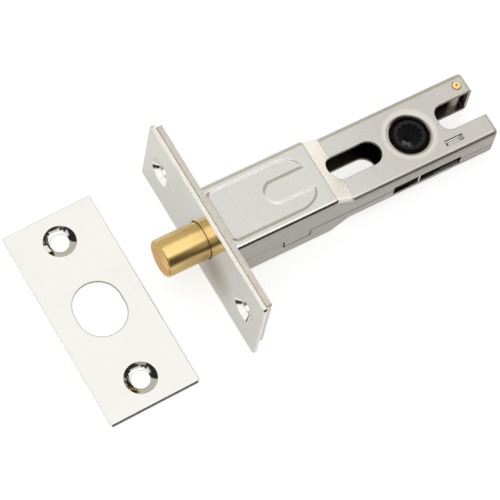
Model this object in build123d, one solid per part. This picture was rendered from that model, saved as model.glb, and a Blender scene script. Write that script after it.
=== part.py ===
from build123d import *
import os
from math import atan2, degrees, radians, sin

os.makedirs("parts", exist_ok=True)

# Privacy bolt for a door edge: a round brass bolt thrown by a plastic follower inside a two-shell
# pressed case, with a double faceplate, and its separate strike plate.
# Millimetres. The origin is on the bolt's axis at the front face of the faceplate.
# +X runs back into the door, +Y along the faceplate, +Z along the follower's axis.

# Plates
plate_length = 57.0
plate_width = 25.0
plate_thickness = 1.2
plate_corner = 0.9
plate_edge_round = 0.2
plate_bolt_hole = 10.6
screw_spacing = 41.8
screw_hole = 4.8
screw_head = 8.6
screw_sink_depth = 1.25
fixing_length = 55.0
fixing_thickness = 1.6
fixing_top_setback = 0.2
fixing_foot_setback = 1.4
fixing_corner = 0.5
fixing_foot_corner = 3.0
plate_joint_chamfer = 0.2

# Bolt
bolt_diameter = 10.0
bolt_throw = 11.8
bolt_nose_round = 0.6
bolt_inner_chamfer = 0.5
bolt_groove_start = -0.15
bolt_groove_width = 0.6
bolt_groove_depth = 0.12
bolt_inner_length = 20.0
bolt_slot_start = 9.0

# Case
sheet = 0.8
case_width = 19.6
front_height = 17.0
rear_height = 10.2
step_start = 33.0
step_end = 38.1
case_end = 81.0
bend_radius = 1.5
crease_radius = 1.1
hollow_crease_radius = 0.6
end_bend_radius = 1.0
seam_gap = 0.25
seam_tight = 0.08
seam_level = -0.5

# Sunk panel with its raised tongue
panel_start = 4.3
panel_width = 14.6
panel_depth = 0.35
panel_corner = 1.5
panel_slope = 1.0
panel_slope_steps = 5
lobe_start = 23.5
lobe_length = 6.2
tongue_nose = 17.4
tongue_width = 6.2

# Openings in the wide faces
backset = 60.0
slot_centre = 43.4
slot_length = 15.7
slot_width = 6.9
mouth_start = 68.4
mouth_width = 7.6
mouth_corner = 2.9
lance_start = 66.8
lance_length = 5.1
lance_width = 1.5
lance_drop = 0.9
lance_gap = 0.25
lance_ramp = 1.3
lance_y = -6.5

# Seam and side window
window_start = 50.4
window_end = 70.3
window_floor = -2.7
window_top = 0.95
tab_start = 18.4
tab_end = 26.0
tab_notch = 0.5
tab_drop = 3.3
tab_corner = 0.6
tenon_width = 8.0

# Follower
collar_radius = 6.3
journal_radius = 5.02
journal_length = 0.6
follower_sink = 0.45
follower_chamfer = 0.95
flange_radius = 5.3
flange_thickness = 1.0
barrel_radius = 4.9
detent_flat = 4.6
spline_outer = 3.4
spline_inner = 2.95
spline_lobes = 12
arm_swing = 90.0
arm_tip_radius = 3.0
arm_shy_of_face = 0.2
arm_neck_width = 4.0
arm_floor = -2.35
arm_top = 0.6

# Tail slide
tail_thickness = 1.0
tail_start = 9.6
tail_tongue_width = 8.8
tail_elbow_start = 16.0
tail_elbow_end = 22.0
tail_joggle_start = 24.0
tail_joggle_end = 30.0
lug_top = 0.3
lug_play = 0.5
lug_tip_width = 0.5
lug_tip_shy = 0.1
pin_diameter = 2.4
pin_places = (12.0, 16.8)

# Guide block, spring and rear rivet
guide_length = 12.0
guide_round = 1.2
spring_thickness = 0.4
spring_height = 5.0
spring_foot = 2.6
spring_span = 19.0
spring_crown = 5.6
rivet_x = 78.0
rivet_y = 6.6
rivet_diameter = 2.3
rivet_proud = 0.15
rivet_dimple = 0.35
spacer_diameter = 3.6

# Strike plate, lying in front of the lock on the surface that carries both
strike_length = 57.0
strike_width = 25.0
strike_thickness = 1.5
strike_corner = 0.6
strike_edge_round = 0.2
strike_hole_width = 12.8
strike_hole_length = 15.0
strike_distance = 27.6

# Clearances
running_gap = 0.06
moving_gap = 0.3
slot_gap = 0.05
seat_gap = 0.05

# Worked out from the sizes above
case_start = plate_thickness + fixing_thickness
arm_radius = bolt_throw / 2 / sin(radians(arm_swing / 2))
tip_x = backset - bolt_throw / 2
inner_rear = rear_height / 2 - sheet
inner_front = front_height / 2 - sheet
inner_wall = case_width / 2 - sheet
tail_outer = -inner_wall + moving_gap
arm_reach = case_width / 2 - arm_shy_of_face
tail_level = -inner_rear + moving_gap + tail_thickness / 2
rest_tilt = atan2(plate_width / 2 - rear_height / 2, case_end)
follower_top = rear_height / 2 - follower_sink
throat_radius = journal_radius + running_gap
lip_round = collar_radius - throat_radius
lip_foot = rear_height / 2 - lip_round - journal_length
tail_inner = -(throat_radius + sheet + moving_gap)
lug_inner = -(flange_radius + moving_gap)
lug_step = -lip_foot + moving_gap


def save(shape, name):
    export_step(shape, f"parts/{name}.step")


def slab(x0, x1, y0, y1, z0, z1):
    """A block between two corners."""
    box = Box(x1 - x0, y1 - y0, z1 - z0)
    return Pos((x0 + x1) / 2, (y0 + y1) / 2, (z0 + z1) / 2) * box


def rod(radius, length, place):
    """A round bar along Z, centred on its place."""
    return place * Cylinder(radius, length)


def plate_blank(length, width, thickness, corner, edge_round):
    """A plate in the local XY plane with its face at z = 0 and its body below."""
    blank = extrude(RectangleRounded(width, length, corner), -thickness)
    rim = blank.edges().group_by(Axis.Z)[-1]
    return fillet(rim, edge_round)


def countersink(depth):
    """A countersunk screw hole cutter, its head at z = 0 and its cone as deep as asked."""
    cone = Pos(0, 0, -depth / 2) * Cone(screw_hole / 2, screw_head / 2, depth)
    return cone + Cylinder(screw_hole / 2, 8 * depth)


def screw_places():
    return [Pos(0, side * screw_spacing / 2, 0) for side in (1, -1)]


# Faceplate and fixing plate
def make_faceplate():
    """The polished front plate, drawn flat and then stood up facing -X."""
    plate = plate_blank(plate_length, plate_width, plate_thickness, plate_corner, plate_edge_round)
    back = plate.faces().sort_by(Axis.Z)[0].outer_wire().edges()
    plate = chamfer(back, plate_joint_chamfer)
    for place in screw_places():
        plate -= place * countersink(screw_sink_depth)
    plate -= Cylinder(plate_bolt_hole / 2, 4 * plate_thickness)
    return Rot(0, -90, 0) * plate


def make_fixing_plate():
    """The sheared plate behind it, which takes the points of the countersinks and the tenons."""
    top = plate_width / 2 - fixing_top_setback
    foot = -plate_width / 2 + fixing_foot_setback
    outline = Pos((top + foot) / 2, 0) * Rectangle(top - foot, fixing_length)
    corners = outline.vertices().sort_by(Axis.X)
    outline = fillet(corners[:2], fixing_foot_corner)
    corners = outline.vertices().sort_by(Axis.X)
    outline = fillet(corners[-2:], fixing_corner)
    plate = Rot(0, 90, 0) * extrude(Rot(0, 0, 180) * outline, fixing_thickness)
    plate = chamfer(plate.faces().sort_by(Axis.X)[0].outer_wire().edges(), plate_joint_chamfer)
    plate = Pos(plate_thickness, 0, 0) * plate
    across = Rot(0, 90, 0)
    middle = Pos(plate_thickness + fixing_thickness / 2, 0, 0)
    plate -= middle * across * Cylinder(bolt_diameter / 2 + running_gap, 3 * fixing_thickness)
    for place in screw_places():
        plate -= place * Rot(0, -90, 0) * countersink(screw_sink_depth)
    for side in (1, -1):
        plate -= tenon(side, slot_gap)
    return plate


def tenon(side, gap):
    """The end of a shell's wide face that is staked into the fixing plate."""
    half = tenon_width / 2 + gap
    low = inner_front - gap
    high = front_height / 2 + gap
    z0, z1 = sorted((side * low, side * high))
    return slab(plate_thickness, case_start + 0.5 * bool(gap), -half, half, z0, z1)


# Pressed case
def side_profile():
    """The case seen from its narrow side, long enough at the front to stay open there."""
    high = front_height / 2
    low = rear_height / 2
    top = [(-sheet, high), (step_start, high), (step_end, low), (case_end, low)]
    points = top + [(x, -z) for x, z in reversed(top)]
    face = make_face(Polyline(*points, close=True))
    creases = (
        (step_start, crease_radius),
        (step_end, hollow_crease_radius),
        (case_end, end_bend_radius),
    )
    for x, radius in creases:
        corners = [v for v in face.vertices() if abs(v.X - x) < 1e-4]
        face = fillet(corners, radius)
    return face


def case_form(inset):
    """The case's solid form, shrunk all round by the inset, with its long edges rounded."""
    side = side_profile()
    if inset:
        side = offset(side, -inset, kind=Kind.INTERSECTION)
    half = case_width / 2 - inset
    form = extrude(Plane.XZ * side, half, both=True)
    long_edges = [e for e in form.edges() if is_long_corner(e, half, inset)]
    return fillet(long_edges, bend_radius - inset)


def is_long_corner(edge, half, inset):
    """True for the edges that run from front to back between a wide face and a side."""
    middle = edge.position_at(0.5)
    on_side = abs(edge.position_at(0).Y - edge.position_at(1).Y) < 1e-6 and abs(abs(middle.Y) - half) < 1e-6
    before_end = edge.bounding_box().max.X < case_end - inset - 1e-3
    behind_front = edge.bounding_box().size.X > 1e-3
    return on_side and before_end and behind_front


def panel_outline(grow):
    """The fork-shaped sunk panel: a rectangle with two lobes either side of the tongue."""
    half = panel_width / 2 + grow
    start = panel_start - grow
    body = Pos((start + lobe_start) / 2, 0) * Rectangle(lobe_start - start, 2 * half)
    front = body.vertices().sort_by(Axis.X)[:2]
    outline = fillet(front, panel_corner + grow)
    inner = tongue_width / 2 - grow
    for side in (1, -1):
        lobe = Ellipse(lobe_length + grow, half - inner)
        outline += Pos(lobe_start, side * inner) * lobe
    nose = tongue_nose + tongue_width / 2
    tongue = Pos(nose, 0) * Circle(inner)
    tongue += Pos(nose + 20, 0) * Rectangle(40, 2 * inner)
    return outline - tongue


def panel_cutter(spread):
    """The panel as a block whose walls curve softly from z = 0 down to its depth."""
    sections = []
    for i in range(panel_slope_steps + 1):
        t = i / panel_slope_steps
        depth = panel_depth * t * t * (3 - 2 * t)
        outline = panel_outline(spread + panel_slope * (0.5 - t))
        sections.append(Pos(0, 0, -depth) * outline.face())
    return loft(sections, ruled=True)


def obround(centre, length, width, height):
    """A slot cutter through both wide faces."""
    return Pos(centre, 0, 0) * extrude(SlotOverall(length, width), height, both=True)


def mouth(height):
    """The open-ended notch at the rear that makes the two prongs."""
    length = case_end + 5 - mouth_start
    outline = Pos(mouth_start + length / 2, 0) * Rectangle(length, mouth_width)
    corners = outline.vertices().sort_by(Axis.X)[:2]
    return extrude(fillet(corners, mouth_corner), height, both=True)


def collar():
    """The lip rolled in round the follower's hole, in the upper wide face."""
    top = rear_height / 2
    base = top - lip_round
    foot = lip_foot
    outer = CenterArc((collar_radius, base), lip_round, 90, 90)
    inner = CenterArc((collar_radius, base), lip_round - sheet, 90, 90)
    rim = Line((collar_radius, top), (collar_radius, top - sheet))
    wall_in = Line((throat_radius, base), (throat_radius, foot))
    end = Line((throat_radius, foot), (throat_radius + sheet, foot))
    wall_out = Line((throat_radius + sheet, foot), (throat_radius + sheet, base))
    section = make_face([outer, wall_in, end, wall_out, inner, rim])
    return Pos(backset, 0, 0) * revolve(Plane.XZ * section, Axis.Z)


def lance_cutter():
    centre = lance_start + lance_length / 2
    return Pos(centre, lance_y, rear_height / 2) * Box(lance_length, lance_width, 4 * sheet)


def lance_tongue():
    """The tongue lanced out of the upper wide face, still joined at its rear end."""
    top = rear_height / 2
    end = lance_start + lance_length
    front = lance_start + lance_gap
    points = [
        (end + 0.1, top),
        (end + 0.1, top - sheet),
        (end - lance_ramp, top - sheet - lance_drop),
        (front, top - sheet - lance_drop),
        (front, top - lance_drop),
        (end - lance_ramp, top - lance_drop),
    ]
    section = Plane.XZ * make_face(Polyline(*points, close=True))
    half = lance_width / 2 - lance_gap
    return Pos(0, lance_y, 0) * extrude(section, half, both=True)


def window_cutter():
    """The long window in the -Y side wall that the follower's arm swings past."""
    wall = -case_width / 2
    return slab(window_start, window_end, wall - 1, wall + sheet + 0.4, window_floor, window_top)


def upper_region(side):
    """Everything above the seam, with the tabs and the rear end wall.

    side is 1 for the upper shell's own edge and -1 for the lower shell's.
    """
    half = side * seam_gap / 2
    front = side * seam_tight / 2
    tab_front = tab_start + side * tab_notch / 2
    tab_rear = tab_end - half
    rear = case_end - sheet + half
    outline = [
        (-1, seam_level + front),
        (tab_front, seam_level + front),
        (tab_front, half - tab_drop),
        (tab_rear, half - tab_drop),
        (tab_rear, seam_level + half),
        (window_start + 5, seam_level + half),
        (window_start + 5, window_floor + half),
        (rear, window_floor + half),
        (rear, half - inner_rear),
        (case_end + 2, half - inner_rear),
        (case_end + 2, front_height),
        (-1, front_height),
    ]
    face = make_face(Polyline(*outline, close=True))
    corners = [v for v in face.vertices() if tab_start - 1 < v.X < tab_end + 1 and v.Y < 1]
    face = fillet(corners, tab_corner)
    return extrude(Plane.XZ * face, case_width, both=True)


def make_shells():
    """The two half shells, cut from one walled form along the seam."""
    outer = case_form(0)
    inner = case_form(sheet)
    panel_top = front_height / 2
    recess = Pos(0, 0, panel_top) * panel_cutter(0)
    bulge = Pos(0, 0, panel_top - sheet) * panel_cutter(sheet / 3)
    walls = outer - recess - mirror(recess, Plane.XY)
    walls -= inner - bulge - mirror(bulge, Plane.XY)
    walls -= slab(-2 * case_start, case_start, -case_width, case_width, -front_height, front_height)
    hub_hole = rod(collar_radius, 3 * rear_height, Pos(backset, 0, 0))
    walls -= hub_hole
    walls -= obround(slot_centre, slot_length, slot_width, front_height)
    walls -= mouth(front_height)
    walls -= rod(rivet_diameter / 2 + slot_gap, 3 * rear_height, Pos(rivet_x, rivet_y, 0))
    walls -= lance_cutter()
    walls -= window_cutter()
    lip = collar()
    upper = walls & upper_region(1)
    lower = walls - upper_region(-1)
    upper += lip
    upper += lance_tongue()
    upper += tenon(1, 0)
    lower += mirror(lip, Plane.XY)
    lower += tenon(-1, 0)
    return upper, lower


# Bolt and tail slide
def make_bolt():
    """The turned brass bolt with its rounded nose and the slot milled for the tail."""
    length = bolt_throw + bolt_inner_length
    bolt = Cylinder(bolt_diameter / 2, length)
    bolt = fillet(bolt.edges().filter_by(GeomType.CIRCLE).sort_by(Axis.Z)[0], bolt_nose_round)
    bolt = chamfer(bolt.edges().filter_by(GeomType.CIRCLE).sort_by(Axis.Z)[-1], bolt_inner_chamfer)
    bolt = Pos((bolt_inner_length - bolt_throw) / 2, 0, 0) * Rot(0, 90, 0) * bolt
    groove_middle = bolt_groove_start + bolt_groove_width / 2
    ring = Cylinder(bolt_diameter, bolt_groove_width)
    ring -= Cylinder(bolt_diameter / 2 - bolt_groove_depth, bolt_groove_width)
    bolt -= Pos(groove_middle, 0, 0) * Rot(0, 90, 0) * ring
    half = tail_thickness / 2 + slot_gap
    bolt -= slab(bolt_slot_start, bolt_inner_length + 1, -bolt_diameter, bolt_diameter, -half, half)
    for x in pin_places:
        bolt -= rod(pin_diameter / 2, 2 * bolt_diameter, Pos(x, 0, 0))
    return bolt


def make_tail():
    """The flat steel tail: a tongue in the bolt, an elbow, a joggled strip and two drive lugs."""
    lug_front = tip_x - arm_tip_radius - lug_play
    lug_rear = tip_x + arm_tip_radius + lug_play
    strip_end = lug_rear + tail_thickness
    half = tail_tongue_width / 2
    outline = [
        (tail_start, half),
        (tail_elbow_end, half),
        (tail_elbow_end, tail_inner),
        (strip_end, tail_inner),
        (strip_end, tail_outer),
        (tail_elbow_start, tail_outer),
        (tail_elbow_start, -half),
        (tail_start, -half),
    ]
    face = make_face(Polyline(*outline, close=True))
    face = fillet([v for v in face.vertices() if v.X < strip_end - 1], 1.0)
    blank = extrude(face, front_height, both=True)
    bend = [
        (tail_start - 1, 0),
        (tail_joggle_start, 0),
        (tail_joggle_end, tail_level),
        (strip_end + 1, tail_level),
    ]
    middle = Polyline(*bend)
    middle = fillet(middle.vertices()[1:3], 2.0)
    ribbon = make_face(offset(middle, tail_thickness / 2, side=Side.BOTH))
    tail = blank & extrude(Plane.XZ * ribbon, case_width, both=True)
    for x in (lug_front - tail_thickness, lug_rear):
        tail += Pos(x, 0, 0) * drive_lug()
    tail += lug_tip(lug_rear + moving_gap / 2)
    for x in pin_places:
        tail -= rod(pin_diameter / 2, 2 * bolt_diameter, Pos(x, 0, 0))
    return tail


def lug_tip(start):
    """The narrow end of the rear lug, which runs in the side window and shows where the tail stands."""
    outer = -case_width / 2 + lug_tip_shy
    low = window_floor + moving_gap
    high = window_top - moving_gap
    return slab(start, start + lug_tip_width, outer, tail_outer + lug_tip_width, low, high)


def drive_lug():
    """A lug bent up from the strip, wider above the lower shell's collar than at its foot."""
    foot = tail_level - tail_thickness / 2
    outline = [
        (tail_outer, foot),
        (tail_inner, foot),
        (tail_inner, lug_step),
        (lug_inner, lug_step),
        (lug_inner, lug_top),
        (tail_outer, lug_top),
    ]
    face = make_face(Polyline(*outline, close=True))
    face = fillet([v for v in face.vertices() if v.Y > lug_top - 0.1], 0.6)
    return extrude(Plane.YZ * face, tail_thickness)


def make_pins():
    """The two cross pins that hold the tail in the bolt, ground flush with it."""
    edge = pin_diameter / 2
    length = 2 * ((bolt_diameter / 2) ** 2 - edge**2) ** 0.5 - 0.1
    pins = []
    for x in pin_places:
        pin = Cylinder(pin_diameter / 2, length)
        pins.append(Pos(x, 0, 0) * chamfer(pin.edges().filter_by(GeomType.CIRCLE), 0.15))
    return pins


# Follower
def spline_outline():
    """The lobed socket that takes a splined spindle."""
    step = 360 / spline_lobes
    outline = Circle(spline_inner)
    width = spline_outer * radians(step) * 0.56
    for i in range(spline_lobes):
        turn = Rot(0, 0, i * step)
        outline += turn * Pos(spline_outer - width / 2, 0) * Circle(width / 2)
        outline += turn * Pos((spline_outer - width / 2) / 2, 0) * Rectangle(spline_outer - width / 2, width)
    return outline


def make_follower():
    """The moulded follower: two journals, flanges, a barrel with detent flats and the drive arm."""
    flange_top = lip_foot - moving_gap / 2
    follower = Cylinder(journal_radius, 2 * follower_top)
    ends = follower.edges().filter_by(GeomType.CIRCLE)
    follower = chamfer(ends, follower_chamfer)
    follower += Cylinder(flange_radius, 2 * flange_top)
    waist = 2 * (flange_top - flange_thickness)
    ring = Cylinder(flange_radius + 1, waist) - Cylinder(barrel_radius, waist)
    follower -= ring
    for turn in (0, 90):
        flat = slab(detent_flat, flange_radius + 1, -flange_radius, flange_radius, -waist / 2, waist / 2)
        follower -= Rot(0, 0, turn) * flat
    follower += drive_arm()
    follower -= extrude(spline_outline(), rear_height, both=True)
    return Pos(backset, 0, 0) * follower


def drive_arm():
    """The arm, pointing to the bolt's side of the -Y wall, its tip trimmed to clear the door."""
    tip = Pos(arm_radius, 0) * Circle(arm_tip_radius)
    neck = Pos(arm_radius / 2, 0) * Rectangle(arm_radius, arm_neck_width)
    outline = (tip + neck) & Circle(arm_reach)
    arm = extrude(outline, arm_top - arm_floor)
    return Pos(0, 0, arm_floor) * Rot(0, 0, -90 - arm_swing / 2) * arm


# Inner pieces of the case
def make_guide():
    """The moulded block behind the fixing plate that guides the bolt."""
    width = 2 * (inner_wall - seat_gap)
    height = 2 * (inner_front - panel_depth - seat_gap)
    block = Box(guide_length, width, height)
    block = fillet(block.edges().filter_by(Axis.X), guide_round)
    block -= Rot(0, 90, 0) * Cylinder(bolt_diameter / 2 + running_gap, 2 * guide_length)
    for side in (1, -1):
        pocket = Box(guide_length, 1.6, height - 4)
        block -= Pos(guide_length / 4, side * (width / 2 - 1.6), 0) * pocket
    return Pos(case_start + guide_length / 2, 0, 0) * block


def make_spring():
    """The leaf spring that bears on the follower's flats, standing against the +Y wall."""
    wall = inner_wall
    half = spring_span / 2
    line = [
        (-half, wall - spring_thickness / 2),
        (-half + spring_foot, wall - spring_thickness / 2),
        (-half / 3, spring_crown + spring_thickness / 2),
        (half / 3, spring_crown + spring_thickness / 2),
        (half - spring_foot, wall - spring_thickness / 2),
        (half, wall - spring_thickness / 2),
    ]
    middle = Polyline(*line)
    middle = fillet(middle.vertices()[1:5], 1.5)
    ribbon = make_face(offset(middle, spring_thickness / 2, side=Side.BOTH))
    return Pos(backset, 0, 0) * extrude(ribbon, spring_height / 2, both=True)


def make_spacer():
    """The tube that keeps the two shells apart at the rear rivet."""
    tube = Cylinder(spacer_diameter / 2, 2 * inner_rear)
    tube -= Cylinder(rivet_diameter / 2 + slot_gap, 3 * inner_rear)
    return Pos(rivet_x, rivet_y, 0) * tube


def make_rivet():
    """The brass rivet through both shells, its ends domed, slightly proud and dimpled."""
    half = rear_height / 2 + rivet_proud
    rivet = Cylinder(rivet_diameter / 2, 2 * half)
    rivet = fillet(rivet.edges().filter_by(GeomType.CIRCLE), rivet_proud)
    dimple = Pos(0, 0, half - rivet_dimple / 2) * Cone(0, rivet_dimple, rivet_dimple)
    rivet -= dimple + mirror(dimple, Plane.XY)
    return Pos(rivet_x, rivet_y, 0) * rivet


# Strike plate
def make_strike():
    """The strike plate, flat on the surface that the lock's plate edge and rear end rest on."""
    plate = plate_blank(strike_length, strike_width, strike_thickness, strike_corner, strike_edge_round)
    for place in screw_places():
        plate -= place * countersink(screw_sink_depth)
    hole = Rot(0, 0, 90) * SlotOverall(strike_hole_length, strike_hole_width)
    plate -= extrude(hole, 2 * strike_thickness, both=True)
    lying = Pos(-strike_distance, 0, strike_thickness) * plate
    return Pos(0, 0, -plate_width / 2) * Rot(0, -degrees(rest_tilt), 0) * lying


upper_shell, lower_shell = make_shells()
front_pin, rear_pin = make_pins()
save(make_faceplate(), "faceplate")
save(make_fixing_plate(), "fixing_plate")
save(upper_shell, "upper_shell")
save(lower_shell, "lower_shell")
save(make_guide(), "bolt_guide")
save(make_spring(), "detent_spring")
save(make_spacer(), "rear_spacer")
save(make_rivet(), "rear_rivet")
save(make_bolt(), "bolt")
save(make_tail(), "tail_slide")
save(front_pin, "tail_pin_front")
save(rear_pin, "tail_pin_rear")
save(make_follower(), "follower")
save(make_strike(), "strike_plate")
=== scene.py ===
"""Looks of the privacy bolt: finishes, floor, studio light and camera round the CAD part."""

import math

import bpy
from mathutils import Matrix, Vector

MM = 0.001

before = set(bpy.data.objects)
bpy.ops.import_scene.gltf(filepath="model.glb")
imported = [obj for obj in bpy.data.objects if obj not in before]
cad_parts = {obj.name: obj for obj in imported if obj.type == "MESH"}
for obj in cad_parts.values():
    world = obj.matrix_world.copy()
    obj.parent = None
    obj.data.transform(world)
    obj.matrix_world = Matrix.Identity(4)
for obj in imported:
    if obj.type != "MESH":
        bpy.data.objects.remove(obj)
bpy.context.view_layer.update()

# Sizes of the part in millimetres, in the lock's own frame.
PLATE_HALF_WIDTH = 12.5
CASE_END = 81.0
REAR_HALF_HEIGHT = 5.1
STEP_START, STEP_END = 33.0, 38.1
STEP_MIDDLE = 35.5
FRONT_HOLLOW, REAR_HOLLOW = 7.75, 4.35
HOLLOW_HALF_WIDTH = 9.05
BACKSET = 60.0
HUB_CLEAR = 6.4
SCREW_OFFSET = 20.9
SINK_THROAT_RADIUS, SINK_RADIUS = 2.4, 4.3
STRIKE_X = -27.6
STRIKE_FRONT_EDGE, STRIKE_REAR_EDGE = -37.0, -18.0
STRIKE_END = 26.0
STRIKE_HOLE_STRAIGHT, STRIKE_HOLE_REACH = 1.1, 9.0
SEAM_LEVEL = -0.5
SHELL_SIDE = 8.9
TAB_START, TAB_END, TAB_DROP = 18.4, 26.0, 2.8
TAB_STEP_Z, TAB_STEP_HALF = -1.9, 1.5
PANEL_HALF_WIDTH, PANEL_END = 8.3, 32.5
TONGUE_START, TONGUE_Y, TONGUE_HALF_WIDTH, TONGUE_LEVEL = 67.6, -6.5, 0.53, 3.6
WINDOW_X, WINDOW_HALF_LENGTH, WINDOW_Z, WINDOW_HALF_HEIGHT = 60.35, 10.0, -0.9, 1.9

# The lock lies on its faceplate's long edge and its case's rear end, so the floor is tilted.
FLOOR_TILT = math.atan2((PLATE_HALF_WIDTH - REAR_HALF_HEIGHT) * MM, CASE_END * MM)
FLOOR_NORMAL = Vector((-math.sin(FLOOR_TILT), 0, math.cos(FLOOR_TILT)))
FLOOR_CLEARANCE = 0.02 * MM
FLOOR_POINT = Vector((0, 0, -PLATE_HALF_WIDTH * MM)) - FLOOR_NORMAL * FLOOR_CLEARANCE


class Graph:
    """A small helper that adds nodes to a node tree and joins them."""

    def __init__(self, tree):
        self.tree = tree
        tree.nodes.clear()

    def node(self, kind, **settings):
        made = self.tree.nodes.new(kind)
        for name, value in settings.items():
            setattr(made, name, value)
        return made

    def put(self, socket, value):
        if isinstance(value, bpy.types.NodeSocket):
            self.tree.links.new(value, socket)
        elif value is not None:
            socket.default_value = value

    def math(self, operation, a, b=None):
        made = self.node("ShaderNodeMath", operation=operation)
        self.put(made.inputs[0], a)
        self.put(made.inputs[1], b)
        return made.outputs[0]

    def plus(self, a, b):
        return self.math("ADD", a, b)

    def minus(self, a, b):
        return self.math("SUBTRACT", a, b)

    def times(self, first, *others):
        for other in others:
            first = self.math("MULTIPLY", first, other)
        return first

    def without(self, mask):
        """1 where the mask is 0, and 0 where it is 1."""
        return self.minus(1.0, mask)

    def size(self, value):
        return self.math("ABSOLUTE", value)

    def over(self, value, limit):
        return self.math("GREATER_THAN", value, limit)

    def under(self, value, limit):
        return self.math("LESS_THAN", value, limit)

    def distance(self, a, b):
        """The length of the vector with the two components."""
        return self.math("SQRT", self.plus(self.math("POWER", a, 2.0), self.math("POWER", b, 2.0)))

    def spread(self, value, low, high, to_low=0.0, to_high=1.0):
        made = self.node("ShaderNodeMapRange")
        made.clamp = True
        for index, item in enumerate((value, low, high, to_low, to_high)):
            self.put(made.inputs[index], item)
        return made.outputs[0]

    def near(self, value, centre, half, soft):
        """1 where value is within half of centre, falling to 0 over soft."""
        return self.spread(self.size(self.minus(value, centre)), half, half + soft, 1.0, 0.0)

    def mix(self, factor, a, b):
        made = self.node("ShaderNodeMix", data_type="RGBA")
        self.put(made.inputs[0], factor)
        self.put(made.inputs[6], a)
        self.put(made.inputs[7], b)
        return made.outputs[2]

    def split(self, vector):
        parts = self.node("ShaderNodeSeparateXYZ")
        self.put(parts.inputs[0], vector)
        return parts.outputs

    def join(self, x, y=None):
        made = self.node("ShaderNodeCombineXYZ")
        self.put(made.inputs[0], x)
        self.put(made.inputs[1], y)
        return made.outputs[0]

    def object_place(self):
        """The object coordinates in millimetres, one socket for each axis."""
        source = self.node("ShaderNodeTexCoord")
        scaled = self.node("ShaderNodeVectorMath", operation="SCALE")
        self.put(scaled.inputs[0], source.outputs["Object"])
        scaled.inputs["Scale"].default_value = 1 / MM
        return self.split(scaled.outputs[0])

    def facing(self, axis, sign, low, high):
        """1 where the surface faces along one object axis to the given side."""
        parts = self.split(self.node("ShaderNodeTexCoord").outputs["Normal"])
        return self.spread(self.times(parts[axis], sign), low, high)

    def along_axis(self, axis, low, high):
        """1 where the surface faces along an object axis to either side."""
        parts = self.split(self.node("ShaderNodeTexCoord").outputs["Normal"])
        return self.spread(self.size(parts[axis]), low, high)

    def stretched(self, scale=(1, 1, 1)):
        """Object coordinates in millimetres, stretched by scale, as a vector for noise."""
        source = self.node("ShaderNodeTexCoord")
        made = self.node("ShaderNodeMapping")
        self.put(made.inputs["Vector"], source.outputs["Object"])
        made.inputs["Scale"].default_value = [value / MM for value in scale]
        return made.outputs[0]

    def noise(self, where, scale, detail, rough, distort=0.0):
        made = self.node("ShaderNodeTexNoise")
        self.put(made.inputs["Vector"], where)
        made.inputs["Scale"].default_value = scale
        made.inputs["Detail"].default_value = detail
        made.inputs["Roughness"].default_value = rough
        made.inputs["Distortion"].default_value = distort
        return made.outputs[0]

    def bump(self, height, depth_mm, normal):
        made = self.node("ShaderNodeBump")
        made.inputs["Strength"].default_value = 1.0
        made.inputs["Distance"].default_value = depth_mm * MM
        self.put(made.inputs["Height"], height)
        self.put(made.inputs["Normal"], normal)
        return made.outputs[0]

    def soft_edge(self, radius_mm, samples=6):
        made = self.node("ShaderNodeBevel", samples=samples)
        made.inputs["Radius"].default_value = radius_mm * MM
        return made.outputs[0]

    def output(self, kind, shader):
        self.put(self.node(kind).inputs["Surface"], shader)


def new_material(name):
    material = bpy.data.materials.new(name)
    material.use_nodes = True
    return material, Graph(material.node_tree)


def finish_material(g, colour, roughness, normal, metallic=1.0, specular=None):
    shader = g.node("ShaderNodeBsdfPrincipled")
    g.put(shader.inputs["Base Color"], colour)
    g.put(shader.inputs["Metallic"], metallic)
    g.put(shader.inputs["Roughness"], roughness)
    g.put(shader.inputs["Normal"], normal)
    g.put(shader.inputs["Specular IOR Level"], specular)
    g.output("ShaderNodeOutputMaterial", shader.outputs[0])


# Strike plate: a nearly black near end, painted shade on the long edge toward the lock and at the
# hole's rim and lip, painted highlights on the outer long edge and the hole's wall.
STRIKE_END_BLACK = (0.045, 0.040, 0.034, 1)
STRIKE_REAR_SHADE = (0.50, 0.40, 0.30, 1)
STRIKE_FRONT_HIGHLIGHT = (0.98, 0.96, 0.90, 1)
STRIKE_WALL_HIGHLIGHT = (0.95, 0.94, 0.92, 1)
STRIKE_RIM_SHADE = (0.05, 0.042, 0.032, 1)
STRIKE_LIP_SHADE = (0.30, 0.24, 0.17, 1)
RIM_START, RIM_END = 1.05, 1.15
LIP_INNER, LIP_OUTER = 6.45, 6.70


def height_over_floor(g):
    """Height over the tilted floor in millimetres."""
    x, _, z = g.object_place()
    lift = g.plus(g.times(x, FLOOR_NORMAL.x), g.times(z, FLOOR_NORMAL.z))
    return g.minus(lift, FLOOR_POINT.dot(FLOOR_NORMAL) / MM)


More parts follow.
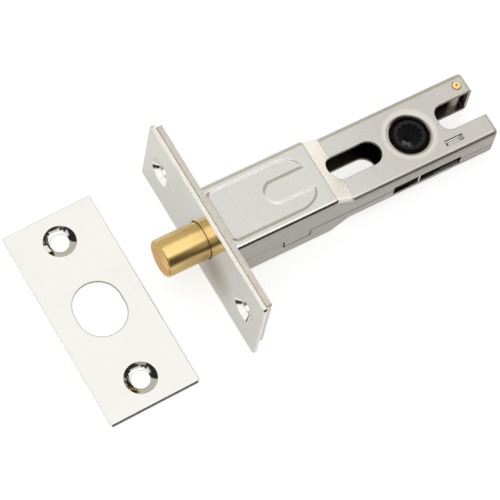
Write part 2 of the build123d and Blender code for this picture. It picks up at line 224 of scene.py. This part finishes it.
def strike_edges(g, colour):
    """On the strike plate: its near end painted nearly black, painted shade on its long edge
    toward the lock, a painted highlight on its outer long edge, and in its hole a painted bright
    wall with a painted dark rim and a painted dark lip round it.
    """
    x, y, _ = g.object_place()
    far_along = g.size(y)
    # The near end is painted nearly black.
    end = g.times(g.facing(1, -1.0, 0.55, 0.75), g.over(far_along, STRIKE_END))
    colour = g.mix(end, colour, STRIKE_END_BLACK)
    # Painted shade: the long edge toward the lock is painted brown.
    side = g.times(g.facing(0, 1.0, 0.12, 0.35), g.over(x, STRIKE_REAR_EDGE))
    colour = g.mix(side, colour, STRIKE_REAR_SHADE)
    # Painted highlight: the outer long edge is painted pale over its shade.
    side = g.times(g.facing(0, -1.0, 0.30, 0.60), g.under(x, STRIKE_FRONT_EDGE))
    colour = g.mix(side, colour, STRIKE_FRONT_HIGHLIGHT)

    # Painted highlight on the hole's wall, with painted shade on the wall's top rim.
    beside = g.near(x, STRIKE_X, STRIKE_HOLE_REACH, 0.1)
    in_hole = g.times(g.under(far_along, STRIKE_HOLE_REACH), beside)
    flat = g.along_axis(2, 0.30, 0.50)
    wall = g.times(in_hole, g.without(flat))
    rim = g.spread(height_over_floor(g), RIM_START, RIM_END)
    colour = g.mix(g.times(wall, g.without(rim)), colour, STRIKE_WALL_HIGHLIGHT)
    colour = g.mix(g.times(wall, rim), colour, STRIKE_RIM_SHADE)

    # Painted shade: a dark lip on the flat face round the hole.
    beyond = g.math("MAXIMUM", g.minus(far_along, STRIKE_HOLE_STRAIGHT), 0.0)
    away = g.distance(g.minus(x, STRIKE_X), beyond)
    lip = g.times(g.spread(away, LIP_INNER, LIP_OUTER, 0.85, 0.0), flat)
    return g.mix(lip, colour, STRIKE_LIP_SHADE)


DISH_DEPTH = 0.21


def dished(g):
    """Height in millimetres that rounds the strike plate's countersinks into shallow bowls."""
    x, y, _ = g.object_place()
    radius = g.distance(g.minus(x, STRIKE_X), g.minus(g.size(y), SCREW_OFFSET))
    return g.math("POWER", g.spread(radius, SINK_THROAT_RADIUS, SINK_RADIUS, 1.0, 0.0), 3.0)


NICKEL = (0.66, 0.65, 0.62)
FACE_NICKEL = (0.85, 0.845, 0.785)
HAZE_TINT = (0.97, 0.965, 0.95)
EDGE_DARK = (0.60, 0.58, 0.54, 1)
EDGE_LIGHT = (0.84, 0.82, 0.78, 1)
# Painted shade: a brown patch on the faceplate below the bolt's root, for the bolt's shade on the
# mirror face.
BOLT_SHADE = (0.42, 0.36, 0.26, 1)
BOLT_SHADE_Y, BOLT_SHADE_Z, BOLT_SHADE_INNER, BOLT_SHADE_OUTER = -7.0, -4.0, 2.0, 10.0


def polished_nickel(name, tint, edge_axes, strike=False):
    """Bright nickel plate, also in its countersinks, with a grainy sheared edge under it."""
    material, g = new_material(name)
    haze = g.noise(g.stretched(), 0.12, 4.0, 0.6)
    fine = g.noise(g.stretched((6, 0.35, 0.35)), 1.6, 4.0, 0.7)
    grain = g.noise(g.stretched((2.2, 1.1, 1.1)), 2.6, 5.0, 0.75)
    first, second, across = edge_axes
    edge = g.math("MAXIMUM", g.along_axis(first, 0.86, 0.95), g.along_axis(second, 0.86, 0.95))
    hazy = [value * share for value, share in zip(tint, HAZE_TINT)]
    face_colour = g.mix(g.spread(haze, 0.35, 0.7), (*tint, 1), (*hazy, 1))
    edge_colour = g.mix(g.spread(grain, 0.38, 0.62), EDGE_DARK, EDGE_LIGHT)
    colour = g.mix(edge, face_colour, edge_colour)

    cone = g.times(g.along_axis(across, 0.70, 0.78), g.without(g.along_axis(across, 0.92, 0.97)))
    shine = g.plus(g.spread(fine, 0.3, 0.75, 0.035, 0.075), g.times(cone, 0.04))
    dull = g.spread(grain, 0.3, 0.7, 0.26, 0.44)
    rough = g.spread(edge, 0.0, 1.0, shine, dull)
    normal = g.bump(g.times(edge, grain), 0.05, g.soft_edge(0.12))
    normal = g.bump(haze, 0.006, normal)
    if strike:
        colour = strike_edges(g, colour)
        normal = g.bump(dished(g), DISH_DEPTH, normal)
    else:
        # Painted shade below the bolt's root, fading outwards and kept off the sheared edge.
        _, y, z = g.object_place()
        away = g.distance(g.minus(y, BOLT_SHADE_Y), g.minus(z, BOLT_SHADE_Z))
        bolt_shade = g.spread(away, BOLT_SHADE_INNER, BOLT_SHADE_OUTER, 0.75, 0.0)
        bolt_shade = g.times(bolt_shade, g.without(edge))
        colour = g.mix(bolt_shade, colour, BOLT_SHADE)
    finish_material(g, colour, rough, normal)
    return material


ZINC_DARK = (0.30, 0.26, 0.22, 1)
ZINC_LIGHT = (0.92, 0.87, 0.81, 1)
ZINC_BLOTCH = (0.50, 0.45, 0.40, 1)
ZINC_SINK = (0.92, 0.91, 0.87, 1)
SINK_REACH = 4.5


def sheared_zinc():
    """The raw fixing plate: torn and burnished grain on its sheared edge, plated sinks."""
    material, g = new_material("sheared_zinc")
    grain = g.noise(g.stretched((2.4, 1.3, 1.3)), 3.4, 6.0, 0.85)
    blotch = g.noise(g.stretched(), 0.5, 3.0, 0.6)
    colour = g.mix(g.spread(grain, 0.32, 0.68), ZINC_DARK, ZINC_LIGHT)
    colour = g.mix(g.times(g.spread(blotch, 0.45, 0.75), 0.3), colour, ZINC_BLOTCH)
    _, y, z = g.object_place()
    from_screw = g.distance(g.minus(g.size(y), SCREW_OFFSET), z)
    sink = g.times(g.under(from_screw, SINK_REACH), g.without(g.along_axis(0, 0.94, 0.98)))
    colour = g.mix(sink, colour, ZINC_SINK)
    normal = g.bump(g.times(grain, g.without(sink)), 0.07, g.soft_edge(0.12))
    rough = g.spread(sink, 0.0, 1.0, g.spread(grain, 0.3, 0.7, 0.30, 0.52), 0.30)
    finish_material(g, colour, rough, normal)
    return material


FRONT_DARK, FRONT_LIGHT = (0.485, 0.478, 0.455, 1), (0.540, 0.532, 0.507, 1)
REAR_DARK, REAR_LIGHT = (0.420, 0.405, 0.378, 1), (0.475, 0.460, 0.430, 1)
SIDE_DARK, SIDE_LIGHT = (0.265, 0.245, 0.215, 1), (0.365, 0.345, 0.31, 1)
SPECK = (0.41, 0.40, 0.37, 1)
# Painted highlights on the case's bends, on the sunk panel's walls and round the collar.
FRONT_BEND_HIGHLIGHT, REAR_BEND_HIGHLIGHT = (0.72, 0.70, 0.65, 1), (0.58, 0.55, 0.49, 1)
STEP_BEND_HIGHLIGHT = (0.82, 0.79, 0.74, 1)
PANEL_BEND_HIGHLIGHT = (0.58, 0.57, 0.54, 1)
COLLAR_HIGHLIGHT = (0.62, 0.60, 0.56, 1)
CUT_EDGE = (0.13, 0.10, 0.075, 1)
# Painted shade inside the case: darker to the rear, lighter near the mouth.
HOLLOW_SHADE_FRONT, HOLLOW_SHADE_REAR = (0.24, 0.19, 0.14, 1), (0.055, 0.045, 0.035, 1)
HOLLOW_SHADE_MOUTH = (0.27, 0.25, 0.22, 1)
# Painted shade in the gap of the seam between the shells.
SEAM_SHADE = (0.045, 0.035, 0.025, 1)
REAR_TONE_START, REAR_TONE_END = 30.0, 55.0
DARK_START, DARK_END = 46.0, 50.0
MOUTH_START, MOUTH_END, MOUTH_SIDE = 68.0, 69.5, -4.0
SEAM_SHADE_FINE, SEAM_SHADE_WIDE = 0.05, 0.17
COLLAR_INNER, COLLAR_OUTER = 6.8, 7.5
CUT_CLEAR, CUT_SIDE = 7.4, 9.0


def hub_distance(g, x, y):
    """Distance from the follower's turning axis in millimetres."""
    return g.distance(g.minus(x, BACKSET), y)


def inside_case(g):
    """1 on the faces that look into the hollow of the case."""
    x, y, z = g.object_place()
    height = g.spread(x, STEP_START, STEP_END, FRONT_HOLLOW, REAR_HOLLOW)
    low = g.under(g.size(z), height)
    low = g.times(low, g.over(hub_distance(g, x, y), HUB_CLEAR))
    tongue = g.times(g.over(x, TONGUE_START), g.near(y, TONGUE_Y, TONGUE_HALF_WIDTH, 0.02))
    tongue = g.times(tongue, g.over(z, TONGUE_LEVEL))
    return g.times(low, g.without(tongue), g.under(g.size(y), HOLLOW_HALF_WIDTH))


def seam_shade(g):
    """1 along the seam between the two shells and at the tab's step, where the seam is painted
    dark as shade; it keeps to the seam's level along the whole case, also behind X 55.4, where the
    shells part lower.
    """
    x, y, z = g.object_place()
    tab = g.times(g.over(x, TAB_START), g.under(x, TAB_END))
    level = g.minus(SEAM_LEVEL, g.times(tab, TAB_DROP))
    width = g.spread(x, TAB_START - 0.5, TAB_START, SEAM_SHADE_FINE, SEAM_SHADE_WIDE)
    line = g.under(g.size(g.minus(z, level)), width)
    step = g.near(z, TAB_STEP_Z, TAB_STEP_HALF, 0.1)
    step = g.times(g.near(x, TAB_END, SEAM_SHADE_WIDE, 0.02), step)
    return g.times(g.math("MAXIMUM", line, step), g.over(g.size(y), SHELL_SIDE))


def raw_edges(g, x, y, z):
    """1 on the cut edges of the slot and the mouth, and on the side window's sill."""
    cut = g.times(g.under(g.size(y), CUT_SIDE), g.without(g.along_axis(2, 0.15, 0.35)))
    cut = g.times(cut, g.over(hub_distance(g, x, y), CUT_CLEAR))
    sill = g.near(z, WINDOW_Z, WINDOW_HALF_HEIGHT, 0.02)
    sill = g.times(g.near(x, WINDOW_X, WINDOW_HALF_LENGTH, 0.02), sill)
    sill = g.times(sill, g.without(g.along_axis(1, 0.40, 0.60)))
    return g.math("MAXIMUM", cut, sill)


def wide_face_colour(g, x, y, cloud, speck):
    """The upper and lower wide faces, with painted highlights on their bends, on the sunk panel's
    walls and in a ring round the collar's rim.
    """
    rear = g.spread(x, REAR_TONE_START, REAR_TONE_END)
    shade = g.spread(cloud, 0.3, 0.72)
    wide = g.mix(rear, g.mix(shade, FRONT_DARK, FRONT_LIGHT), g.mix(shade, REAR_DARK, REAR_LIGHT))
    wide = g.mix(g.times(g.spread(speck, 0.56, 0.72), 0.14), wide, SPECK)
    # Painted highlight on the bends, brightest at the step and milder on the panel's walls.
    bent = g.mix(rear, FRONT_BEND_HIGHLIGHT, REAR_BEND_HIGHLIGHT)
    bent = g.mix(g.near(x, STEP_MIDDLE, 2.8, 0.4), bent, STEP_BEND_HIGHLIGHT)
    panel = g.times(g.under(g.size(y), PANEL_HALF_WIDTH), g.under(x, PANEL_END))
    bent = g.mix(panel, bent, PANEL_BEND_HIGHLIGHT)
    flat = g.along_axis(2, 0.95, 0.995)
    wide = g.mix(flat, bent, wide)
    # Painted highlight in a ring round the collar on the flat faces.
    collar = g.spread(hub_distance(g, x, y), COLLAR_INNER, COLLAR_OUTER, 0.55, 0.0)
    return g.mix(g.times(flat, collar), wide, COLLAR_HIGHLIGHT)


def satin_nickel():
    """Barrel-plated sheet: soft shine on wide faces, drawn sides darkened with painted shade,
    painted highlights on the bends, painted shade inside the case and along the seam.
    """
    material, g = new_material("satin_nickel")
    cloud = g.noise(g.stretched(), 0.16, 5.0, 0.62, 0.4)
    speck = g.noise(g.stretched(), 3.2, 4.0, 0.7)
    draw = g.noise(g.stretched((0.18, 2.6, 2.6)), 1.5, 4.0, 0.7)
    x, y, z = g.object_place()
    # The sides carry drawn streaks, and their darker tone is painted shade.
    side = g.mix(g.spread(draw, 0.32, 0.68), SIDE_DARK, SIDE_LIGHT)
    colour = g.mix(g.along_axis(1, 0.55, 0.97), wide_face_colour(g, x, y, cloud, speck), side)
    colour = g.mix(raw_edges(g, x, y, z), colour, CUT_EDGE)
    # Painted shade on the faces inside the case: darker towards the rear, lighter at the mouth.
    hollow = g.mix(g.spread(x, DARK_START, DARK_END), HOLLOW_SHADE_FRONT, HOLLOW_SHADE_REAR)
    mouth = g.times(g.spread(x, MOUTH_START, MOUTH_END), g.over(y, MOUTH_SIDE))
    hollow = g.mix(mouth, hollow, HOLLOW_SHADE_MOUTH)
    colour = g.mix(inside_case(g), colour, hollow)
    # Painted shade along the seam between the shells.
    colour = g.mix(seam_shade(g), colour, SEAM_SHADE)

    bend = g.times(g.along_axis(1, 0.10, 0.35), g.without(g.along_axis(1, 0.90, 0.99)))
    rough = g.plus(g.spread(cloud, 0.3, 0.7, 0.25, 0.32), g.spread(draw, 0.3, 0.7, -0.02, 0.03))
    rough = g.minus(rough, g.times(bend, g.spread(x, STEP_START, 38.0, 0.05, -0.05)))
    normal = g.bump(speck, 0.002, g.soft_edge(0.25, 8))
    normal = g.bump(draw, 0.006, normal)
    finish_material(g, colour, rough, normal)
    return material


BRASS_DARK, BRASS_LIGHT = (0.74, 0.515, 0.210, 1), (0.81, 0.580, 0.250, 1)
BRASS_END = (0.95, 0.50, 0.04, 1)
STREAK_LIGHT, STREAK_DARK = (1.0, 0.70, 0.28, 1), (0.72, 0.35, 0.02, 1)
STREAK_ACROSS, STREAK_ALONG = 0.9, 0.10
SLANT_COS, SLANT_SIN = 0.97, 0.26


def turned_brass():
    """Turned brass: fine rings round the axis, feed marks and faint streaks on the end face."""
    material, g = new_material("brass")
    x, y, z = g.object_place()
    rings = g.noise(g.join(x), 7.0, 4.0, 0.8)
    feed = g.noise(g.join(g.distance(y, z)), 3.4, 4.0, 0.8)
    cloud = g.noise(g.stretched(), 0.4, 4.0, 0.6)
    rise = g.plus(g.times(z, SLANT_COS), g.times(y, SLANT_SIN))
    run = g.minus(g.times(y, SLANT_COS), g.times(z, SLANT_SIN))
    slant = g.join(g.times(rise, STREAK_ACROSS), g.times(run, STREAK_ALONG))
    streak = g.noise(slant, 1.2, 3.0, 0.6)

    end = g.along_axis(0, 0.85, 0.97)
    colour = g.mix(g.spread(cloud, 0.3, 0.7), BRASS_DARK, BRASS_LIGHT)
    colour = g.mix(g.times(end, g.spread(feed, 0.40, 0.60, 0.5, 0.9)), colour, BRASS_END)
    colour = g.mix(g.times(end, g.spread(streak, 0.53, 0.64, 0.0, 0.8)), colour, STREAK_LIGHT)
    colour = g.mix(g.times(end, g.spread(streak, 0.38, 0.50, 0.8, 0.0)), colour, STREAK_DARK)
    rough = g.plus(g.spread(rings, 0.3, 0.7, 0.26, 0.34), g.times(end, 0.02))
    normal = g.bump(g.times(rings, g.without(end)), 0.005, None)
    normal = g.bump(g.times(feed, end), 0.02, normal)
    finish_material(g, colour, rough, normal)
    return material


def moulded(name, dark, light, face, roughness, specular):
    """Moulded nylon with a fine eroded texture, rubbed to another shade on its end faces."""
    material, g = new_material(name)
    grain = g.noise(g.stretched(), 4.5, 4.0, 0.7)
    cloud = g.noise(g.stretched(), 0.7, 2.0, 0.5)
    colour = g.mix(g.spread(cloud, 0.3, 0.7), dark, light)
    rubbed = g.times(g.along_axis(2, 0.90, 0.99), g.spread(grain, 0.2, 0.7, 0.6, 1.0))
    colour = g.mix(rubbed, colour, face)
    rough = g.spread(grain, 0.3, 0.7, roughness - 0.06, roughness + 0.08)
    normal = g.bump(grain, 0.02, g.soft_edge(0.08))
    finish_material(g, colour, rough, normal, metallic=0.0, specular=specular)
    return material


def plain_metal(name, dark, light, low, high):
    """Strip or wire steel with lengthwise rolling marks."""
    material, g = new_material(name)
    marks = g.noise(g.stretched((0.3, 2.5, 2.5)), 2.0, 4.0, 0.7)
    colour = g.mix(g.spread(marks, 0.3, 0.7), dark, light)
    normal = g.bump(marks, 0.01, g.soft_edge(0.08))
    finish_material(g, colour, g.spread(marks, 0.3, 0.7, low, high), normal)
    return material


BLACK_DARK, BLACK_LIGHT = (0.002, 0.002, 0.002, 1), (0.004, 0.004, 0.004, 1)
BLACK_FACE = (0.020, 0.020, 0.022, 1)
WHITE_DARK, WHITE_LIGHT = (0.62, 0.61, 0.58, 1), (0.70, 0.69, 0.66, 1)
SPRING_DARK, SPRING_LIGHT = (0.20, 0.20, 0.21, 1), (0.32, 0.31, 0.31, 1)
STEEL_DARK, STEEL_LIGHT = (0.42, 0.41, 0.39, 1), (0.56, 0.55, 0.53, 1)

face_nickel = polished_nickel("polished_nickel_face", FACE_NICKEL, (1, 2, 0))
strike_nickel = polished_nickel("polished_nickel_strike", NICKEL, (0, 1, 2), strike=True)
zinc = sheared_zinc()
satin = satin_nickel()
brass = turned_brass()
black = moulded("black_nylon", BLACK_DARK, BLACK_LIGHT, BLACK_FACE, 0.50, 0.12)
white = moulded("white_nylon", WHITE_DARK, WHITE_LIGHT, WHITE_LIGHT, 0.50, 0.5)
spring = plain_metal("spring_steel", SPRING_DARK, SPRING_LIGHT, 0.22, 0.34)
steel = plain_metal("plain_steel", STEEL_DARK, STEEL_LIGHT, 0.24, 0.36)

FINISHES = {
    "faceplate": face_nickel, "strike_plate": strike_nickel, "fixing_plate": zinc,
    "upper_shell": satin, "lower_shell": satin, "rear_spacer": satin,
    "bolt": brass, "rear_rivet": brass, "follower": black, "bolt_guide": white,
    "detent_spring": spring, "tail_slide": steel,
    "tail_pin_front": steel, "tail_pin_rear": steel,
}
for name, material in FINISHES.items():
    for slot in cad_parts[name].material_slots:
        slot.material = material


FLOOR_HALF = 8.0
FLOOR_COLOUR = (0.50, 0.50, 0.50, 1)
FLOOR_BEYOND = (0.05, 0.05, 0.05, 1)
FLOOR_LIFT = 0.70
# Painted shade: the strip in front of the faceplate that its mirror face shows dimmer, standing
# for the floor's shade there.
STRIP_START, STRIP_FADE, STRIP_END, STRIP_GLOW = -13.0, 3.0, 0.5, 0.52
# The pale sheet that the lock lies on: its centre, and how far it is stretched along X each way.
SHEET_X, SHEET_INWARD, SHEET_OUTWARD = -40.0, 2.0, 4.0
SHEET_RADIUS, SHEET_FADE = 260.0, 260.0
# The spot that shows through the follower's socket, which stays in the dark.
SHADE_X, SHADE_Y, SHADE_RADIUS, SHADE_EDGE = 62.2, 2.4, 2.7, 3.3


def floor_glow(g, sheet):
    """The white that the floor adds for the camera and in what reflects or refracts it."""
    path = g.node("ShaderNodeLightPath")
    glossy = path.outputs["Is Glossy Ray"]
    x, y, _ = g.object_place()
    # Painted shade: in reflections the glow falls to STRIP_GLOW on the strip in front of the
    # faceplate.
    dimmed = g.spread(x, STRIP_START, STRIP_START + STRIP_FADE, 1.0, STRIP_GLOW)
    mirrored = g.math("MAXIMUM", g.times(glossy, dimmed), g.times(glossy, g.over(x, STRIP_END)))
    seen = g.math("MAXIMUM", path.outputs["Is Camera Ray"], mirrored)
    seen = g.math("MAXIMUM", seen, path.outputs["Is Transmission Ray"])
    away = g.distance(g.minus(x, SHADE_X), g.minus(y, SHADE_Y))
    lit = g.times(g.spread(away, SHADE_RADIUS, SHADE_EDGE), sheet)
    return g.times(seen, lit, FLOOR_LIFT)


def pale_sheet(g):
    """1 on the pale sheet round the lock, fading to 0 far from it."""
    x, y, _ = g.object_place()
    along = g.minus(x, SHEET_X)
    inward = g.math("DIVIDE", along, SHEET_INWARD)
    outward = g.math("DIVIDE", along, -SHEET_OUTWARD)
    out = g.distance(g.math("MAXIMUM", inward, outward), y)
    return g.spread(out, SHEET_RADIUS, SHEET_RADIUS + SHEET_FADE, 1.0, 0.0)


def make_floor():
    mesh = bpy.data.meshes.new("floor")
    along = Vector((math.cos(FLOOR_TILT), 0, math.sin(FLOOR_TILT))) * FLOOR_HALF
    across = Vector((0, 1, 0)) * FLOOR_HALF
    signs = ((-1, -1), (1, -1), (1, 1), (-1, 1))
    corners = [FLOOR_POINT + along * a + across * b for a, b in signs]
    mesh.from_pydata([tuple(corner) for corner in corners], [], [(0, 1, 2, 3)])
    floor = bpy.data.objects.new("floor", mesh)
    bpy.context.scene.collection.objects.link(floor)
    material, g = new_material("floor")
    sheet = pale_sheet(g)
    diffuse = g.node("ShaderNodeBsdfDiffuse")
    g.put(diffuse.inputs["Color"], g.mix(sheet, FLOOR_BEYOND, FLOOR_COLOUR))
    glow = g.node("ShaderNodeEmission")
    g.put(glow.inputs["Strength"], floor_glow(g, sheet))
    both = g.node("ShaderNodeAddShader")
    g.put(both.inputs[0], diffuse.outputs[0])
    g.put(both.inputs[1], glow.outputs[0])
    g.output("ShaderNodeOutputMaterial", both.outputs[0])
    mesh.materials.append(material)


LAMP_AIM = Vector((0.03, 0, 0))
PLAIN = (1, 1, 1)
# Each lamp's name, centre in metres, width direction, width, height, radiance and tint.
LAMPS = (
    ("key_softbox", (0.05, 0.02, 1.0), (1, 0, 0), 1.65, 1.15, 1.38, PLAIN),
    ("side_softbox", (0.05, -0.68, 1.16), (1, 0, 0), 1.2, 0.40, 1.00, PLAIN),
    ("left_softbox", (-0.90, -0.02, 0.98), (0, 1, 0), 0.5, 0.34, 1.00, PLAIN),
    ("horizon_card", (-1.05, 0.10, 0.02), (0, 1, 0), 1.5, 0.27, 1.15, PLAIN),
    ("corner_card", (-1.0, 0.42, 0.22), (0, 1, 0), 0.55, 0.34, 1.15, PLAIN),
    ("far_reflector", (1.05, 0.15, 0.34), (0, 1, 0), 1.2, 0.60, 1.28, (1.0, 0.95, 0.88)),
    ("back_reflector", (0.05, 1.0, 0.62), (1, 0, 0), 1.8, 1.45, 0.68, (1.0, 0.97, 0.85)),
    ("rear_card", (-0.45, -0.80, 0.62), (0.87, -0.49, 0), 1.0, 0.42, 0.50, (1.0, 0.98, 0.95)),
)


def softbox(name, centre, along, width, height, radiance, tint):
    """A rectangular lamp of even radiance that faces the lock, its width along a direction."""
    lamp = bpy.data.lights.new(name, "AREA")
    lamp.shape = "RECTANGLE"
    lamp.size = width
    lamp.size_y = height
    lamp.energy = radiance * math.pi * width * height
    lamp.color = tint
    holder = bpy.data.objects.new(name, lamp)
    bpy.context.scene.collection.objects.link(holder)
    centre, along = Vector(centre), Vector(along)
    outward = (centre - LAMP_AIM).normalized()
    across = (along - along.dot(outward) * outward).normalized()
    turn = Matrix((across, outward.cross(across), outward)).transposed().to_4x4()
    holder.matrix_world = Matrix.Translation(centre) @ turn


WORLD_COLOUR = (0.03, 0.029, 0.027, 1)


def make_world():
    world = bpy.data.worlds.new("studio")
    world.use_nodes = True
    bpy.context.scene.world = world
    g = Graph(world.node_tree)
    background = g.node("ShaderNodeBackground")
    background.inputs["Color"].default_value = WORLD_COLOUR
    background.inputs["Strength"].default_value = 1.0
    g.output("ShaderNodeOutputWorld", background.outputs[0])


# The camera as fitted to the photograph: its place, its axes and its focal length in pixels.
CAMERA_AT = Vector((-234.000, -270.410, 719.973)) * MM
RIGHT = Vector((0.861257, -0.496048, 0.110328))
DOWN = Vector((-0.408135, -0.804567, -0.431390))
FORWARD = Vector((0.302757, 0.326509, -0.895394))
FOCAL_PIXELS = 3248.4
PHOTO_PIXELS = 500.0
SENSOR_MM = 36.0


def make_camera():
    data = bpy.data.cameras.new("camera")
    data.sensor_width = SENSOR_MM
    data.sensor_fit = "HORIZONTAL"
    data.lens = FOCAL_PIXELS / PHOTO_PIXELS * SENSOR_MM
    data.clip_start = 0.01
    data.clip_end = 50.0
    camera = bpy.data.objects.new("camera", data)
    turn = Matrix((RIGHT, -DOWN, -FORWARD)).transposed().to_4x4()
    camera.matrix_world = Matrix.Translation(CAMERA_AT) @ turn
    bpy.context.scene.collection.objects.link(camera)
    bpy.context.scene.camera = camera


make_floor()
for lamp in LAMPS:
    softbox(*lamp)
make_world()
make_camera()
bpy.context.scene.view_settings.view_transform = "Standard"
